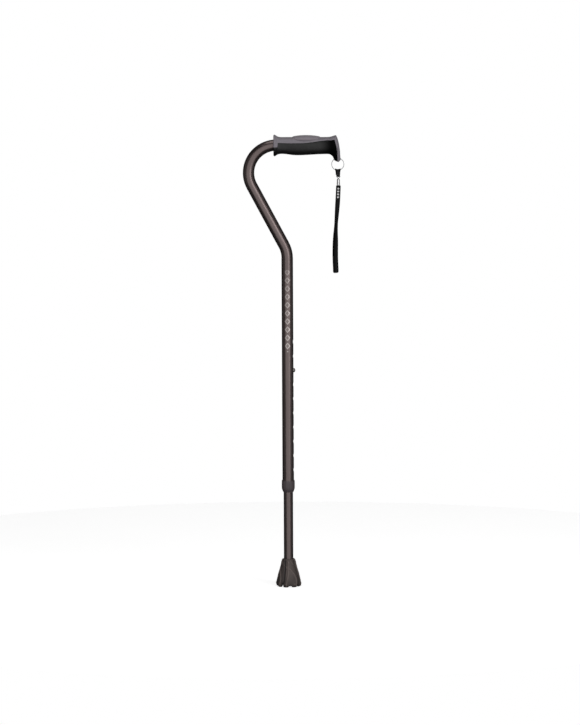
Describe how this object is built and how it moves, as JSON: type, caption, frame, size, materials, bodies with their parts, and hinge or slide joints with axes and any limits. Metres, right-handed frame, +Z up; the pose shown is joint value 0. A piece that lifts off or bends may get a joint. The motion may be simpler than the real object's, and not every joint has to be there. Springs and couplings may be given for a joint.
{
  "type": "quad walking cane",
  "caption": "Offset-handle walking cane that adjusts in height with a snap button and lock nut, stands on a four-footed rubber tip, and has a wrist strap.",
  "frame": {"origin": "centre of the ground plane under the rubber tip, on the shaft's axis", "axes": "+Z up along the shaft, +X the way the handle points, +Y to the left of a person who faces along +X"},
  "size_m": [0.1791, 0.0424, 0.806],
  "materials": {
    "tip_rubber": "moulded matte rubber, dark warm grey",
    "plated_steel": "zinc plated",
    "spring_steel": "bright spring strip",
    "tube_bronze": "satin bronze anodised",
    "bush_plastic": "natural nylon",
    "nut_plastic": "moulded, fine grain",
    "grip_black": "soft touch, matte",
    "grip_mauve": "soft touch, matte",
    "pad_mauve": "soft gel, matte",
    "chrome_ring": "polished chrome",
    "webbing_black": "woven nylon webbing",
    "thread": "bonded thread"
  },
  "bodies": {
    "lower_leg": {"tip_boot": "tip_rubber", "tip_washer": "plated_steel", "lower_tube": "tube_bronze", "guide_bush": "bush_plastic", "button_spring": "spring_steel"},
    "button": {"snap_button": "plated_steel"},
    "upper_frame": {"upper_tube": "tube_bronze", "collet": "bush_plastic", "grip_body": "grip_black", "grip_cover": "grip_mauve", "palm_pad": "pad_mauve"},
    "nut": {"lock_nut": "nut_plastic"},
    "ring": {"split_ring": "chrome_ring"},
    "tab": {"strap_tab": "webbing_black", "tab_stitching": "thread", "swivel_bail": "chrome_ring"},
    "swivel": {"swivel_cap": "chrome_ring", "strap_pin": "chrome_ring"},
    "strap": {"wrist_strap": "webbing_black", "strap_stitching": "thread"}
  },
  "joints": [
    {"name": "height_adjust", "type": "slide", "parent": "lower_leg", "child": "upper_frame", "axis": [0, 0, 1], "range_m": [-0.0508, 0.1778], "deforming": ["snap_button", "button_spring"]},
    {"name": "button_press", "type": "slide", "parent": "lower_leg", "child": "button", "axis": [-1, 0, 0], "range_m": [0, 0.0048], "stiffness_N_per_m": 1500, "springref_m": -0.002, "deforming": ["button_spring"]},
    {"name": "nut_turn", "type": "hinge", "parent": "upper_frame", "child": "nut", "pos_m": [0, 0, 0.179], "axis": [0, 0, 1], "range_deg": [0, 270]},
    {"name": "ring_swing", "type": "hinge", "parent": "upper_frame", "child": "ring", "pos_m": [0.0901, 0, 0.7647], "axis": [1, 0, 0], "range_deg": [-65, 65]},
    {"name": "tab_swing", "type": "hinge", "parent": "ring", "child": "tab", "pos_m": [0.0901, 0, 0.7421], "axis": [1, 0, 0], "range_deg": [-30, 30]},
    {"name": "swivel_turn", "type": "hinge", "parent": "tab", "child": "swivel", "pos_m": [0.091, 0, 0.7242], "axis": [0, 0, 1], "continuous": true},
    {"name": "strap_swing", "type": "hinge", "parent": "swivel", "child": "strap", "pos_m": [0.091, 0, 0.7132], "axis": [1, 0, 0], "range_deg": [-45, 45]}
  ]
}
